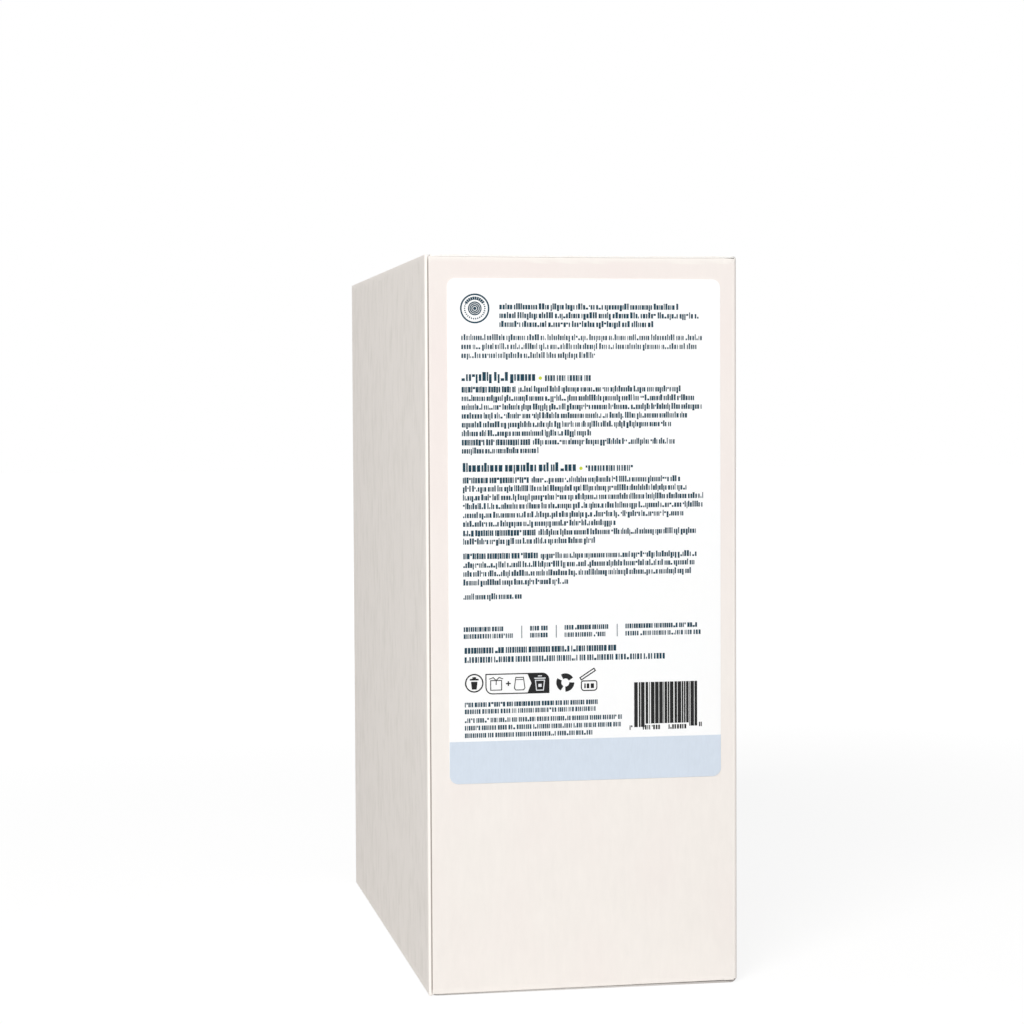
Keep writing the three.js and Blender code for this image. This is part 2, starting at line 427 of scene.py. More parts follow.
def settle(points):
    # The top sinks between its folds: a parabola across the width, deeper in the middle of the
    # depth, that fades out a little way down the walls
    x, y, z = points[..., 0], points[..., 1], points[..., 2]
    reach = cartonPlan["sagReach"]
    share = np.clip((z - height + reach) / reach, 0, 1)
    share = share * share * (3 - 2 * share)
    least, more = cartonPlan["sag"]
    sag = least * (1 - (x / right) ** 2) * (1 + more * (1 - (y / back) ** 2))
    moved = points.copy()
    moved[..., 2] = z - sag * share
    return moved


def spread(start, end, extra=()):
    # Places from one value to the other: close together beside the folds, then even steps
    close = np.array([0, 0.35, 0.8, 1.6, 3.0])
    length = abs(end - start)
    count = max(2, round((length - 2 * close[-1]) / cartonPlan["step"]))
    middle = np.linspace(close[-1], length - close[-1], count + 1)
    inside = [abs(value - start) for value in extra]
    along = np.unique(np.round(np.concatenate([close, middle, length - close, inside]), 4))
    return start + np.sign(end - start) * along


def corner(centreX, centreY, radius, startAngle):
    # Quarter circle walked clockwise: the centre plus the radius along the turning normal
    angle = np.radians(startAngle) - np.linspace(0, np.pi / 2, cartonPlan["arcSteps"] + 1)
    normal = np.stack([np.cos(angle), np.sin(angle)], 1)
    return np.array([centreX, centreY]) + radius * normal, normal


def stretch(places, fixed, alongX, normal):
    # Straight part of the wall line, along X or along Y
    other = np.full_like(places, fixed)
    line = np.stack([places, other] if alongX else [other, places], 1)
    return line, np.tile(np.array(normal, float), (len(places), 1))


def wallLine():
    # Outside line of the walls, clockwise from the glue flap to the cut edge of the front panel.
    # Each stretch is (name, points, normals).
    plan = cartonPlan
    radius, seam = plan["cornerRadius"], plan["seamRadius"]
    glueFace = -back + board + plan["glue"]
    sideEnd = glueFace + seam
    tabHalf = tabPlan["width"] / 2
    straightX = right - radius
    straightY = back - radius
    cutEdge = -right + seam + plan["seamGap"]
    return [
        ("glue", *stretch(spread(-right + plan["glueFlap"], -right + seam), glueFace, True, (0, -1))),
        ("seamFold", *corner(-right + seam, sideEnd, seam, -90)),
        ("left", *stretch(spread(sideEnd, straightY), -right, False, (-1, 0))),
        ("leftFold", *corner(-straightX, straightY, radius, 180)),
        ("back", *stretch(spread(-straightX, straightX, (-tabHalf, tabHalf, slotStart)),
                          back, True, (0, 1))),
        ("backFold", *corner(straightX, straightY, radius, 90)),
        ("right", *stretch(spread(straightY, -straightY), right, False, (1, 0))),
        ("rightFold", *corner(straightX, -straightY, radius, 0)),
        ("front", *stretch(spread(straightX, cutEdge, (slotStart,)), -back, True, (0, -1))),
    ]


def tabCrease(x, z):
    # V-shaped groove across the top of the tab, running out at its ends
    reach = tabPlan["width"] / 2 - tabPlan["nick"]
    depth = np.clip(1 - 2 * np.abs(z - creaseLevel) / tabPlan["crease"], 0, 1)
    ends = np.clip((reach - np.abs(x)) / tabPlan["creaseEnd"], 0, 1)
    return tabPlan["creaseDepth"] * depth * ends


def lineSwell(name, line, z):
    # How far each point of a stretch stands out from its straight line, rows by columns
    x, y = line[None, :, 0], line[None, :, 1]
    radius = cartonPlan["cornerRadius"]
    if name in ("glue", "front"):
        return frontSwell(x, z)
    if name in ("left", "right"):
        return swell(name, (y + back - radius) / (2 * (back - radius)), upShare(z))
    if name == "back":
        return swell(name, (x + right - radius) / (2 * (right - radius)), upShare(z)) - tabCrease(x, z)
    return np.zeros((z.shape[0], line.shape[0]))


class Sheet:
    # Collects grids of points with their masks for creases, for the painted shade on the glue seam and
    # on cut sides, for the pink tinge and for the streaks of painted shade, then joins them into one mesh

    def __init__(self):
        self.points, self.faces, self.count = [], [], 0
        self.masks = {"crease": [], "seam": [], "blush": [], "streak": []}

    def add(self, points, **masks):
        # Rows go up and columns clockwise, so each quad faces outwards
        rows, columns = points.shape[:2]
        index = self.count + np.arange(rows * columns).reshape(rows, columns)
        quads = np.stack([index[:-1, :-1], index[1:, :-1], index[1:, 1:], index[:-1, 1:]], -1)
        self.points.append(points.reshape(-1, 3))
        for name, parts in self.masks.items():
            parts.append(np.broadcast_to(masks.get(name, 0.0), (rows, columns)).reshape(-1))
        self.faces.append(quads.reshape(-1, 4))
        self.count += rows * columns

    def mesh(self, name):
        mesh = bpy.data.meshes.new(name)
        mesh.from_pydata(np.concatenate(self.points) * mm, [], np.concatenate(self.faces).tolist())
        for key, masks in self.masks.items():
            attribute = mesh.attributes.new(key, "FLOAT", "POINT")
            attribute.data.foreach_set("value", np.concatenate(masks).astype(np.float32))
        work = bmesh.new()
        work.from_mesh(mesh)
        bmesh.ops.remove_doubles(work, verts=work.verts, dist=2 * hair * mm)
        work.faces.ensure_lookup_table()
        outwards = work.faces[0].normal.copy()
        bmesh.ops.recalc_face_normals(work, faces=work.faces)
        if work.faces[0].normal.dot(outwards) < 0:
            bmesh.ops.reverse_faces(work, faces=work.faces)
        work.to_mesh(mesh)
        work.free()
        return mesh


def creaseNear(distance):
    # Whitening beside a fold: half on it, and nil a short way off
    return 0.5 * np.clip(1 - np.abs(distance) / cartonPlan["white"]["reach"], 0, 1)


def seamShade(name, normals):
    # The face of the glue flap lies in the shade of the panel that covers it, and that shade is
    # painted on. The painted shade fades out along the last part of its fold.
    if name == "glue":
        return 1.0
    if name == "seamFold":
        start = cartonPlan["shadeFrom"]
        return np.clip((-normals[:, 1] - start) / (1 - start), 0, 1)[None, :]
    return 0.0


def blushOf(name, points):
    # The front panel is a little pinker towards its top and its left side, with soft patches made
    # of three slanting sine waves
    if name not in ("front", "rightFold"):
        return 0.0
    plan = cartonPlan["blush"]
    x, z = points[..., 0], points[..., 2]
    patches = (np.sin(x / 3.1 + 1.3 * np.sin(z / 17))
               + np.sin(x / 5.3 - z / 9 + 2)
               + np.sin(x / 13 + z / 6.1 + 1))
    up = np.clip((z - plan["from"]) / plan["over"], 0, 1)
    left = np.clip((right - x) / (2 * right), 0, 1)
    tinge = plan["least"] + up * (plan["above"] + plan["left"] * left) + plan["patches"] * patches
    return np.maximum(0, tinge)


def addWalls(sheet, line):
    # Wall line carried up from the lowest to the highest row that all panels share
    half = tabPlan["crease"] / 2
    rows = spread(lowRow, highRow, (creaseLevel - half, creaseLevel, creaseLevel + half))
    z = rows[:, None]
    white = cartonPlan["white"]
    for name, places, normals in line:
        out = lineSwell(name, places, z)
        points = np.zeros((len(rows), len(places), 3))
        points[..., :2] = places + out[..., None] * normals
        points[..., 2] = z
        pressed = white.get(name, white["other"])
        if name.endswith("Fold"):
            crease = pressed
        else:
            run = np.linalg.norm(places - places[0], axis=1)
            crease = pressed * np.maximum(creaseNear(run), creaseNear(run[-1] - run))[None, :]
        if name == "back":
            groove = tabCrease(places[None, :, 0], z) / tabPlan["creaseDepth"]
            crease = np.maximum(crease, white["tab"] * groove)
        # streak: painted shade on the side panels; seam: painted shade on the glue flap
        sheet.add(settle(points), crease=crease, seam=seamShade(name, normals),
                  blush=blushOf(name, points), streak=1.0 if name in ("left", "right") else 0.0)


def flapShape(kind, end, base):
    # A flap's fold radius, the depth of its outside face at the fold, and its sides: rows of the way
    # past the fold with the lower and the upper limit along the wall; -1 is the start of the fold
    plan = cartonPlan["flaps"][kind]
    low, high = -back, back
    if kind == "dust":
        # narrow flap that folds in first and dips under the inner one
        share = (base + right) / (2 * right)
        first, last = end["dustGap"]
        radius, level = plan["radius"], board + first + (last - first) * share
        low, high = -right, base.max()
        sides = plan["sides"]
    elif kind == "inner":
        # its fold stands as high as the outer flap, which stops short of it
        radius, under = end["inner"]
        level = under + 0 * base
        near, far = base.min() + back, back - base.max()
        sides = [(0, near + plan["narrower"], far + plan["narrower"]), *plan["sides"]]
    else:
        # as long as the carton is wide, less a small setback at its free edge
        radius, level = end["hinge"], 0 * base
        near, far = end["inset"]
        reach = 2 * right - plan["setback"] - radius
        nipped = far + plan["nip"]
        sides = [(0, near, near), (reach - plan["nip"], far, far), (reach, nipped, nipped)]
    limits = [(past, low + before, high - after) for past, before, after in sides]
    return radius, level, [(-1, base.min(), base.max()), *limits]


def addFlap(sheet, line, name, kind, atTop):
    # Profile carried along the top or bottom of a panel: up to the fold, a quarter circle round it
    # and straight in. Its sides move from the panel's columns to the flap's own limits.
    places = next(p for key, p, _ in line if key == name)
    alongX = name in ("front", "back")
    if kind == "dust":
        places = places[places[:, 0] <= slotStart + hair]
    base = places[:, 0] if alongX else places[:, 1]
    fixed = places[0, 1] if alongX else places[0, 0]
    inward = -np.sign(fixed)
    plan = cartonPlan["flaps"][kind]
    radius, level, sides = flapShape(kind, cartonPlan["ends"]["top" if atTop else "bottom"], base)
    marks, lows, highs = zip(*sides)
    angle = np.linspace(0, np.pi / 2, cartonPlan["arcSteps"] + 1)
    runs = spread(0, marks[-1])[1:]
    inside = np.concatenate([[0], radius * (1 - np.cos(angle)), radius + runs])
    ease = np.clip(runs / plan["dipReach"], 0, 1)
    below = np.concatenate([[0], radius * (1 - np.sin(angle)), plan["dip"] * ease * ease * (3 - 2 * ease)])
    depth = level[None, :] + below[:, None]
    depth[0] = cartonPlan["straight"]
    past = np.concatenate([[-1, -1], angle[1:] / angle[-1] - 1, runs])
    low = np.interp(past, marks, lows)[:, None]
    high = np.interp(past, marks, highs)[:, None]
    share = (base - base.min()) / (base.max() - base.min())
    along = low + (high - low) * share[None, :]
    across = fixed + inward * inside[:, None] + 0 * along
    points = np.stack([along, across, height - depth] if alongX else [across, along, height - depth], -1)
    pressed = cartonPlan["white"][kind]
    crease = np.concatenate([[0.5 * pressed], np.full(len(angle), pressed), creaseNear(runs)])[:, None]
    edges = np.maximum(creaseNear(base - base.min()), creaseNear(base.max() - base))[None, :]
    crease = np.maximum(crease, edges)
    if atTop:
        sheet.add(settle(points), crease=crease)
    else:
        # the cut sides of the flap that the carton stands on get painted shade, most of all at its hinge
        points[..., 2] = depth
        edgeShade = 2 * edges * np.clip(1 - inside / cartonPlan["edgeShadeReach"], 0, 1)[::-1, None]
        sheet.add(points[::-1], crease=crease[::-1], seam=edgeShade if kind == "outer" else 0.0)


def addUpright(sheet, line, name, reach, atTop, fromX=-right):
    # Straight piece of wall past the shared rows, up to a cut edge. Its depth below the end is given
    # at one or more places along X, and runs straight between them.
    places, normals = next((p, n) for key, p, n in line if key == name)
    kept = places[:, 0] >= fromX - hair
    places, normals = places[kept], normals[kept]
    share = np.linspace(0, 1, cartonPlan["edgeRows"])[:, None]
    depth = cartonPlan["straight"] * (1 - share) + share * np.interp(places[:, 0], *reach)[None, :]
    points = np.zeros((*depth.shape, 3))
    points[..., :2] = places
    points[..., 2] = height - depth if atTop else depth
    white = cartonPlan["white"]
    crease = white.get(name, white["other"]) if name.endswith("Fold") else white["cut"]
    shade = seamShade(name, normals) * (1 - share) ** 0.5 + 0 * depth
    points, shade = (settle(points), shade) if atTop else (points[::-1], shade[::-1])
    sheet.add(points, crease=crease, seam=shade)


def faceOutwards(mesh):
    # Normals of closed shapes turned outwards
    work = bmesh.new()
    work.from_mesh(mesh)
    bmesh.ops.recalc_face_normals(work, faces=work.faces)
    work.to_mesh(mesh)
    work.free()


def tubeFaces(sections, after):
    # Quads from the sections of a bar with four corners to the ones after them, side by side
    quads = np.stack([sections, after, np.roll(after, -1, 1), np.roll(sections, -1, 1)], -1)
    return quads.transpose(1, 0, 2).reshape(-1, 4)


def finishMesh(piece, sharpAngle=35):
    # Modifiers applied, then smooth shading with sharp edges kept
    graph = bpy.context.evaluated_depsgraph_get()
    done = bpy.data.meshes.new_from_object(piece.evaluated_get(graph), depsgraph=graph,
                                           preserve_all_data_layers=True)
    piece.modifiers.clear()
    piece.data = done
    done.name = piece.name
    done.shade_smooth()
    done.set_sharp_from_angle(angle=math.radians(sharpAngle))


def addModifier(piece, name, kind, **settings):
    setAll(piece.modifiers.new(name, kind), settings)


def newPiece(name, mesh, materials):
    piece = newObject(name, mesh)
    for material in materials:
        mesh.materials.append(material)
    return piece


def tabOutline():
    # Perforation line in X and Z: down one side, round the seat of the tap and up the other side
    half, turn = tabPlan["width"] / 2, tabPlan["corner"]
    seat, level = tabPlan["seat"] / 2, tabPlan["seatLevel"]
    quarter = np.linspace(0, np.pi / 2, tabPlan["cornerPoints"])
    halfTurn = np.linspace(0, np.pi, tabPlan["seatPoints"])
    first = np.stack([-half + turn - turn * np.cos(quarter), level + turn - turn * np.sin(quarter)], 1)
    bowl = np.stack([-seat * np.cos(halfTurn), level - seat * np.sin(halfTurn)], 1)
    last = np.stack([half - turn + turn * np.sin(quarter), level + turn - turn * np.cos(quarter)], 1)
    top = level + tabPlan["height"]
    return np.concatenate([[[-half, top]], first, bowl, last, [[half, top]]])


def perforationCutter(material):
    # Slim blocks at even spacing along the perforation line, each bent with the line: a row of
    # sections across it, carried from the block's start to its end
    outline = tabOutline()
    run = np.concatenate([[0], np.cumsum(np.linalg.norm(np.diff(outline, axis=0), axis=1))])
    count = round(run[-1] / (tabPlan["cut"] + tabPlan["nick"]))
    middle = (np.arange(count) + 0.5) / count * run[-1]
    sections = 7
    place = middle[:, None] + np.linspace(-0.5, 0.5, sections)[None, :] * tabPlan["cut"]

    def onLine(distance):
        return np.stack([np.interp(distance, run, outline[:, axis]) for axis in (0, 1)], -1)

    step = 0.05  # mm to both sides, for the line's direction
    tangent = onLine(place + step) - onLine(place - step)
    tangent /= np.linalg.norm(tangent, axis=-1)[..., None]
    normal = np.stack([-tangent[..., 1], tangent[..., 0]], -1) * tabPlan["cutWidth"] / 2
    deep = 2 * board
    rings = []
    for side, depth in ((1, deep), (-1, deep), (-1, -deep), (1, -deep)):
        flat = onLine(place) + side * normal
        rings.append(np.stack([flat[..., 0], np.full(place.shape, back + depth), flat[..., 1]], -1))
    points = np.stack(rings, 2)
    index = np.arange(4 * sections).reshape(sections, 4)
    block = np.concatenate([tubeFaces(index[:-1], index[1:]), index[:1], index[-1:, ::-1]])
    faces = (block[None] + index.size * np.arange(count)[:, None, None]).reshape(-1, 4)
    mesh = bpy.data.meshes.new("perforationCutter")
    mesh.from_pydata(points.reshape(-1, 3) * mm, [], faces.tolist())
    faceOutwards(mesh)
    return newPiece("perforationCutter", mesh, [material])


def makeCarton():
    line = wallLine()
    sheet = Sheet()
    addWalls(sheet, line)
    for atTop in (True, False):
        end = cartonPlan["ends"]["top" if atTop else "bottom"]
        for name in ("front", "back"):
            addFlap(sheet, line, name, "dust", atTop)
            slot = board + np.array(end["slot"])
            addUpright(sheet, line, name, ((slotStart, right), slot), atTop, slotStart)
        addFlap(sheet, line, "left", "inner", atTop)
        addFlap(sheet, line, "right", "outer", atTop)
        addUpright(sheet, line, "seamFold", ((0,), (cartonPlan["seamEnd"],)), atTop)
        start, depths = cartonPlan["glueCut"]
        addUpright(sheet, line, "glue", (np.array(start) - right, depths), atTop)
        for name in ("leftFold", "backFold", "rightFold"):
            addUpright(sheet, line, name, ((0,), (end["notch"],)), atTop)
    materials = [makeFinish("boardFace", boardFacePlan), makeFinish("boardEdge", boardEdgePlan),
                 makeFinish("boardBack", boardBackPlan)]
    carton = newPiece("carton_board", sheet.mesh("carton_board"), materials)
    # thickened inwards, with the back of the board inside and its edge all round
    addModifier(carton, "wall", "SOLIDIFY", thickness=board * mm, offset=-1,
                use_even_offset=True, material_offset=2, material_offset_rim=1)
    addModifier(carton, "rim", "BEVEL", width=cartonPlan["rim"] * mm, segments=2,
                limit_method="ANGLE", angle_limit=math.radians(cartonPlan["rimAngle"]))
    cutter = perforationCutter(materials[1])
    addModifier(carton, "perforations", "BOOLEAN", operation="DIFFERENCE", solver="EXACT",
                material_mode="TRANSFER", object=cutter)
    finishMesh(carton)
    bpy.data.objects.remove(cutter)
    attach(carton, "root")
    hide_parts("carton")
    print(f"carton folded: {len(carton.data.polygons)} faces")


makeCarton()


# Directions label: a thin sheet that follows the front panel, with its print as a film of ink

labelWidth, labelThickness, labelHeight = (float(size) for size in labelHigh - labelLow)
labelPlan = {
    "radius": 2.3,
    "film": 0.02,  # ink on the paper
    "sunk": 0.01,  # and in it
    "rowStep": 4.0,  # spacing of the sheet's rows
    "columns": 22,
    "bendPoints": 9,
}


def onLabel(across, down, lift):
    # Place on the label, from its top left corner, to a point that far in front of the paper
    x = labelLow[0] + across
    z = labelHigh[2] - down
    y = -back - frontSwell(x, z) - labelThickness - lift
    return np.stack([x, y, z], -1)


def roundedRows(fromTop, toBottom, roundTop):
    # Rows of a sheet with round corners below, and above too if asked: each row's distance from the
    # label's top and its inset at both sides, which is the radius minus the root of (radius squared
    # minus distance into the corner squared)
    radius = labelPlan["radius"]
    bend = radius * (1 - np.cos(np.linspace(0, np.pi / 2, labelPlan["bendPoints"])))
    count = max(3, round((toBottom - fromTop) / labelPlan["rowStep"]))
    rows = [np.linspace(fromTop, toBottom, count), toBottom - bend]
    if roundTop:
        rows.append(fromTop + bend)
    down = np.unique(np.round(np.concatenate(rows), 4))
    into = np.maximum(0, down - toBottom + radius)
    if roundTop:
        into = np.maximum(into, fromTop + radius - down)
    return down, radius - np.sqrt(np.maximum(radius ** 2 - into ** 2, 0))


def labelSheet(name, fromTop, lift, thickness, roundTop, material):
    # Sheet from a level of the label down to its lower edge
    down, inset = roundedRows(fromTop, labelHeight, roundTop)
    share = np.linspace(0, 1, labelPlan["columns"])
    across = inset[:, None] + (labelWidth - 2 * inset)[:, None] * share[None, :]
    points = onLabel(across[::-1, ::-1], down[::-1, None] + 0 * across, lift)
    sheet = Sheet()
    sheet.add(points)
    piece = newPiece(name, sheet.mesh(name), [material])
    addModifier(piece, "wall", "SOLIDIFY", thickness=thickness * mm, offset=-1)
    finishMesh(piece)
    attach(piece, "root")
    return piece


label = labelSheet("label_sheet", 0, 0, labelThickness, True, makeFinish("labelPaper", labelPaperPlan))
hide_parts("directions_label")
print("label laid on the front panel")


# Print: plain fields, bars, rings and rows of small blocks in place of the printed words

def inkPlan(base, spreadBy):
    # Slightly uneven ink: its colour with a lighter and a darker shade of it
    warm = tuple(min(255, part + spreadBy) for part in base)
    cool = tuple(max(0, part - spreadBy) for part in base)
    return {"base": base, "warm": warm, "cool": cool, "blotch": 300.0, "fibre": 1600.0, "depth": 0.1,
            "relief": 0.004, "roughness": 0.5, "gloss": 0.3}


printPlan = {
    "inks": {
        "print_text": inkPlan((8, 56, 74), 8),
        "print_marks": inkPlan((10, 10, 12), 5),
        "print_light": inkPlan((232, 235, 238), 2),
        "print_dots": inkPlan((200, 212, 50), 8),
        "print_band": inkPlan((214, 224, 236), 2),
    },
    "seed": 41,
    "bandTop": 124.7,  # mm below the label's top
    "fine": 0.24,  # widths of the lines in the pictures, mm
    "line": 0.3,
    "fill": 0.94,  # blocks per pitch of a row
    "widths": (0.55, 1.5),  # range of a block's width, and of a gap's
    "gaps": (0.7, 1.3),
    "word": (3, 12),  # blocks in a word, and the gap after it in pitches
    "wordGap": 0.45,
    "kinds": (0.24, 0.33, 0.38, 0.41),  # upper shares of tall, hanging, low and high blocks
    "short": 0.2,  # low and high ones stop this far off the middle
}


class Film:
    # Collects closed thin shapes of ink, each given on the label from its top left corner

    def __init__(self, lift=labelPlan["film"]):
        self.points, self.faces, self.count, self.lift = [], [], 0, lift

    def take(self, points, faces):
        self.points.append(points.reshape(-1, 3))
        self.faces.extend((np.asarray(face) + self.count).tolist() for face in faces)
        self.count += points.size // 3

    def bothFaces(self, across, down):
        return onLabel(across, down, self.lift), onLabel(across, down, -labelPlan["sunk"])

    def bars(self, boxes):
        # Upright bars, each given by left, right, top and bottom
        boxes = np.asarray(boxes, float).reshape(-1, 4)
        start, end, top, bottom = boxes.T
        across = np.stack([start, end, end, start], 1)
        down = np.stack([bottom, bottom, top, top], 1)
        block = np.array([(0, 1, 2, 3), (7, 6, 5, 4), (0, 4, 5, 1),
                          (1, 5, 6, 2), (2, 6, 7, 3), (3, 7, 4, 0)])
        faces = block[None] + 8 * np.arange(len(boxes))[:, None, None]
        self.take(np.concatenate(self.bothFaces(across, down), 1), list(faces.reshape(-1, 4)))

    def plate(self, outline):
        # Flat shape with a closed outline that runs anticlockwise as seen
        outline = np.asarray(outline, float)
        count = len(outline)
        here = np.arange(count)
        there = (here + 1) % count
        sides = np.stack([here, here + count, there + count, there], 1)
        self.take(np.concatenate(self.bothFaces(*outline.T)), [here, here[::-1] + count, *sides])

    def band(self, outline, width, closed=True):
        # Line of even width along an outline: two offset copies of it, joined by quads
        outline = np.asarray(outline, float)
        count = len(outline)
        if closed:
            ahead, behind = np.roll(outline, -1, 0), np.roll(outline, 1, 0)
        else:
            ahead = np.concatenate([outline[1:], outline[-1:]])
            behind = np.concatenate([outline[:1], outline[:-1]])
        first = outline - behind
        second = ahead - outline
        first /= np.maximum(np.linalg.norm(first, axis=1), 1e-9)[:, None]
        second /= np.maximum(np.linalg.norm(second, axis=1), 1e-9)[:, None]
        if not closed:
            first[0], second[-1] = second[0], first[-1]
        middle = first + second
        middle /= np.linalg.norm(middle, axis=1)[:, None]
        # corners are mitred, up to twice the line's width
        widen = np.minimum(1 / np.maximum(np.sum(middle * first, 1), 0.3), 2)
        normal = np.stack([middle[:, 1], -middle[:, 0]], 1) * (widen * width / 2)[:, None]
        ring = []
        sunk = -labelPlan["sunk"]
        for offset, lift in ((1, self.lift), (-1, self.lift), (-1, sunk), (1, sunk)):
            place = outline + offset * normal
            ring.append(onLabel(place[:, 0], place[:, 1], lift))
        points = np.stack(ring, 1)
        index = np.arange(count * 4).reshape(count, 4)
        after = np.roll(index, -1, 0)
        if not closed:
            index, after = index[:-1], after[:-1]
        faces = list(tubeFaces(index, after))
        if not closed:
            faces += [np.array([0, 1, 2, 3]), np.array([3, 2, 1, 0]) + 4 * (count - 1)]
        self.take(points, faces)

    def piece(self, name):
        mesh = bpy.data.meshes.new(name)
        mesh.from_pydata(np.concatenate(self.points) * mm, [], self.faces)
        faceOutwards(mesh)
        piece = newPiece(name, mesh, [makeFinish(name, printPlan["inks"][name])])
        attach(piece, "root")
        return piece


def circle(across, down, radius, steps=40, start=0.0, turn=360.0):
    # Points round a centre, from a start angle through a turn
    whole = turn >= 360
    angle = np.radians(start + np.linspace(0, turn, steps, endpoint=not whole))
    return np.stack([across + radius * np.cos(angle), down - radius * np.sin(angle)], 1)


def rounded(start, end, top, bottom, radii):
    # Rectangle with its own radius at each corner: top right, top left, bottom left, bottom right
    centres = [(end - radii[0], top + radii[0]), (start + radii[1], top + radii[1]),
               (start + radii[2], bottom - radii[2]), (end - radii[3], bottom - radii[3])]
    parts = [circle(*centre, radius, 7, start, 90)
             for centre, radius, start in zip(centres, radii, (0, 90, 180, 270))]
    return np.concatenate(parts)


rowStyles = {
    # height of a row's blocks, their mean width, the mean gap, how far some of them stand up or
    # hang down, and the pitch of rows where there are more than one, all in mm
    "lead": (1.22, 0.47, 0.19, 0.42, 2.36),
    "thin": (1.18, 0.34, 0.24, 0.42, 2.4),
    "heading": (1.8, 0.7, 0.26, 0.6, 0),
    "capitals": (1.56, 0.43, 0.25, 0, 0),
    "boldCapitals": (1.6, 0.52, 0.17, 0, 0),
    "body": (1.2, 0.39, 0.18, 0.42, 2.36),
    "bold": (1.5, 0.48, 0.15, 0.1, 0),
    "small": (1.24, 0.36, 0.21, 0, 2.03),
    "smallBold": (1.26, 0.44, 0.17, 0, 0),
}


def blockRow(film, random, style, start, end, level):
    # One row of print: upright blocks of uneven width, a gap after each word, and some blocks that
    # stand up, hang down or are short
    letter, stroke, space, rise, _ = rowStyles[style]
    pitch = stroke + space
    count = max(2, round(printPlan["fill"] * (end - start) / pitch))
    width = stroke * random.uniform(*printPlan["widths"], count)
    gap = space * random.uniform(*printPlan["gaps"], count)
    wordEnds = np.cumsum(random.integers(*printPlan["word"], count))
    gap[wordEnds[wordEnds < count]] += printPlan["wordGap"] * pitch
    gap[-1] = 0
    scale = (end - start) / np.sum(width + gap)
    left = start + scale * np.concatenate([[0], np.cumsum(width + gap)[:-1]])
    half = letter / 2
    top = np.full(count, level - half)
    bottom = np.full(count, level + half)
    kind = random.uniform(0, 1, count)
    tall, hanging, low, high = printPlan["kinds"]
    short = printPlan["short"] * half
    top = np.where(kind < tall, top - rise, top)
    bottom = np.where((kind > tall) & (kind < hanging), bottom + rise, bottom)
    top = np.where((kind > hanging) & (kind < low), level + short, top)
    bottom = np.where((kind > low) & (kind < high), level - short, bottom)
    film.bars(np.stack([left, left + scale * width, top, bottom], 1))


textPlan = [
    # style, start, level of the first row and end of each row, all in mm
    ("lead", 14.2, 7.72, [63.6, 69.3, 56.6]),
    ("thin", 3.8, 16.0, [70.2, 68.7, 40.4]),
    ("heading", 3.8, 26.62, [23.9]),
    ("capitals", 26.6, 26.8, [39.2]),
    ("bold", 3.8, 29.86, [18.5]),
    ("body", 19.3, 29.9, [64.2]),
    ("body", 3.8, 32.3, [68.0, 70.1, 66.0, 61.5, 39.2]),
    ("bold", 3.8, 44.06, [22.4]),
    ("body", 23.2, 44.1, [62.5]),
    ("body", 3.8, 46.4, [24.7]),
    ("heading", 4.0, 51.02, [35.0]),
    ("capitals", 37.7, 51.2, [50.8]),
    ("bold", 4.0, 54.26, [22.0]),
    ("body", 22.8, 54.35, [64.0]),
    ("body", 4.0, 56.65, [65.8, 70.5, 70.3, 64.9, 45.9]),
    ("bold", 4.0, 68.46, [23.8]),
    ("body", 24.6, 68.55, [68.4]),
    ("body", 4.0, 70.85, [40.2]),
    ("bold", 4.0, 74.66, [24.4]),
    ("body", 25.2, 74.85, [68.6]),
    ("body", 4.0, 77.15, [68.0, 67.0, 32.7]),
    ("body", 4.0, 85.7, [19.9]),
    ("smallBold", 4.0, 94.35, [14.8]),
    ("small", 4.0, 96.25, [17.4]),
    ("smallBold", 22.2, 94.35, [27.0]),
    ("small", 22.2, 96.25, [27.0]),
    ("smallBold", 31.7, 94.3, [43.8]),
    ("small", 31.7, 96.3, [43.0]),
    ("smallBold", 48.6, 94.25, [68.7]),
    ("small", 48.6, 96.25, [69.7]),
    ("boldCapitals", 4.2, 100.1, [46.0]),
    ("capitals", 4.2, 102.6, [59.6]),
    ("smallBold", 4.2, 114.75, [40.8]),
    ("small", 4.2, 116.6, [40.2]),
    ("small", 4.2, 119.0, [47.5, 47.2, 39.3]),
]


def makeText():
    random = np.random.default_rng(printPlan["seed"])
    film = Film()
    for style, start, level, ends in textPlan:
        for row, end in enumerate(ends):
            blockRow(film, random, style, start, end, level + row * rowStyles[style][-1])
    film.bars([(x, x + 0.2, 93.6, 97.0) for x in (19.8, 29.3, 46.2)])
    # a plain round seal: an outer ring, a ring of marks that are bolder on top, and a disc of rings
    seal = (7.5, 8.1)
    film.band(circle(*seal, 3.78, 64), 0.42)
    for index in range(30):
        angle = 12 * index
        bold = 30 < angle < 150
        film.band(circle(*seal, 2.75, 4, angle - 4, 10 if bold else 6), 0.85 if bold else 0.4, closed=False)
    for radius in (0.78, 1.24, 1.7):
        film.band(circle(*seal, radius, 40), 0.32)
    film.plate(circle(*seal, 0.45, 20))
    film.piece("print_text")


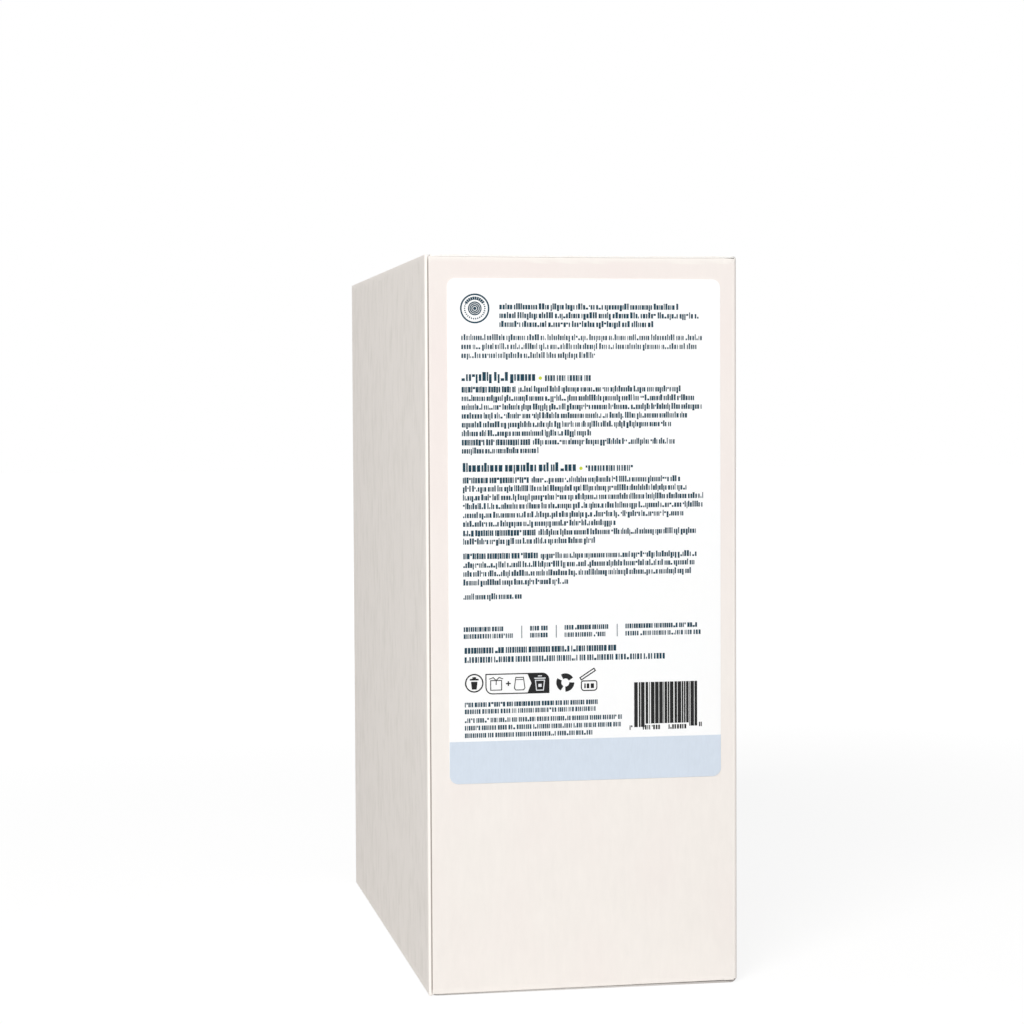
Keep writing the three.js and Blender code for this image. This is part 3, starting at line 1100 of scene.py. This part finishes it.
def makeMarks():
    # Plain stand-ins for the row of signs, and a field of bars
    film = Film()
    fine, line = printPlan["fine"], printPlan["line"]
    # a ring with a small bin in it
    film.band(circle(6.8, 108.9, 2.35, 48), 0.36)
    film.plate([(5.9, 108.5), (6.15, 110.6), (7.45, 110.6), (7.7, 108.5)])
    film.bars([(5.6, 8.0, 107.7, 108.15), (6.3, 7.3, 107.25, 107.7)])
    # a long panel with two round corners, a carton and a pouch in outline, and a dark end
    film.band(rounded(10.0, 27.3, 106.6, 111.9, (1.8, 0.01, 1.8, 0.01)), line)
    film.plate([*circle(25.5, 108.4, 1.8, 9, 0, 90), (21.4, 106.6), (22.5, 109.2), (21.4, 111.9),
                (27.3, 111.9)])
    film.band([(11.3, 108.3), (11.3, 110.9), (14.3, 110.9), (14.3, 108.3)], fine)
    film.band([(10.9, 107.9), (12.0, 107.5), (12.8, 108.3), (13.6, 107.5), (14.7, 107.9)], fine,
              closed=False)
    film.band([(12.8, 108.3), (12.8, 109.5)], fine, closed=False)
    film.bars([(15.5, 16.8, 109.03, 109.39), (15.97, 16.33, 108.56, 109.86)])
    film.band([(18.2, 107.6), (17.8, 110.5), (18.2, 111.0), (20.3, 111.0), (20.7, 110.5), (20.3, 107.6)],
              fine)
    film.bars([(18.3, 20.2, 108.1, 108.3)])
    # three arcs in a ring
    for index in range(3):
        film.band(circle(31.85, 109.3, 1.8, 12, 30 + 120 * index, 90), 1.4, closed=False)
    # an open jar
    film.band(rounded(36.3, 40.6, 109.0, 111.6, (0.5, 0.5, 0.8, 0.8)), line)
    film.bars([(37.1, 37.5, 109.7, 111.0), (37.8, 38.5, 109.7, 111.0), (38.9, 39.8, 109.7, 111.0)])
    film.band([(35.9, 108.1), (36.3, 108.7), (40.2, 106.2), (39.8, 105.6)], line)
    # seeded bars that stand for no number: wide bars with narrow gaps between them
    random = np.random.default_rng(printPlan["seed"] + 1)
    widths = random.choice([0.22, 0.5, 0.8, 1.1], 20, p=[0.2, 0.25, 0.3, 0.25])
    gaps = random.choice([0.16, 0.3], 20, p=[0.75, 0.25])
    gaps[-1] = 0
    left = np.concatenate([[0], np.cumsum(widths + gaps)[:-1]])
    scale = 17.7 / np.sum(widths + gaps)
    left, end = 51.0 + scale * left, 51.0 + scale * (left + widths)
    tall = (left < 53) | (left > 66.4)
    film.bars(np.stack([left, end, np.full_like(left, 109.7), np.where(tall, 122.0, 121.1)], 1))
    for start, end in ((49.7, 50.5), (53.4, 58.2), (60.6, 65.6), (69.2, 70.0)):
        blockRow(film, random, "small", start, end, 122.1 if start < 69 else 121.6)
    film.piece("print_marks")
    # a pale cup on the panel's dark end
    cup = Film(labelPlan["film"] * 1.5)
    cup.band([(23.6, 108.5), (23.9, 111.2), (25.8, 111.2), (26.1, 108.5)], fine)
    cup.bars([(23.3, 26.4, 107.8, 108.1), (24.3, 25.4, 107.2, 107.45), (24.4, 25.3, 109.5, 110.3)])
    cup.piece("print_light")


def makeDots():
    film = Film()
    film.plate(circle(25.3, 26.8, 0.46, 24))
    film.plate(circle(36.4, 51.2, 0.46, 24))
    film.piece("print_dots")


makeText()
makeMarks()
makeDots()
labelSheet("print_band", printPlan["bandTop"], labelPlan["film"], labelPlan["film"] + labelPlan["sunk"],
           False, makeFinish("print_band", printPlan["inks"]["print_band"]))
print("print laid on the label")
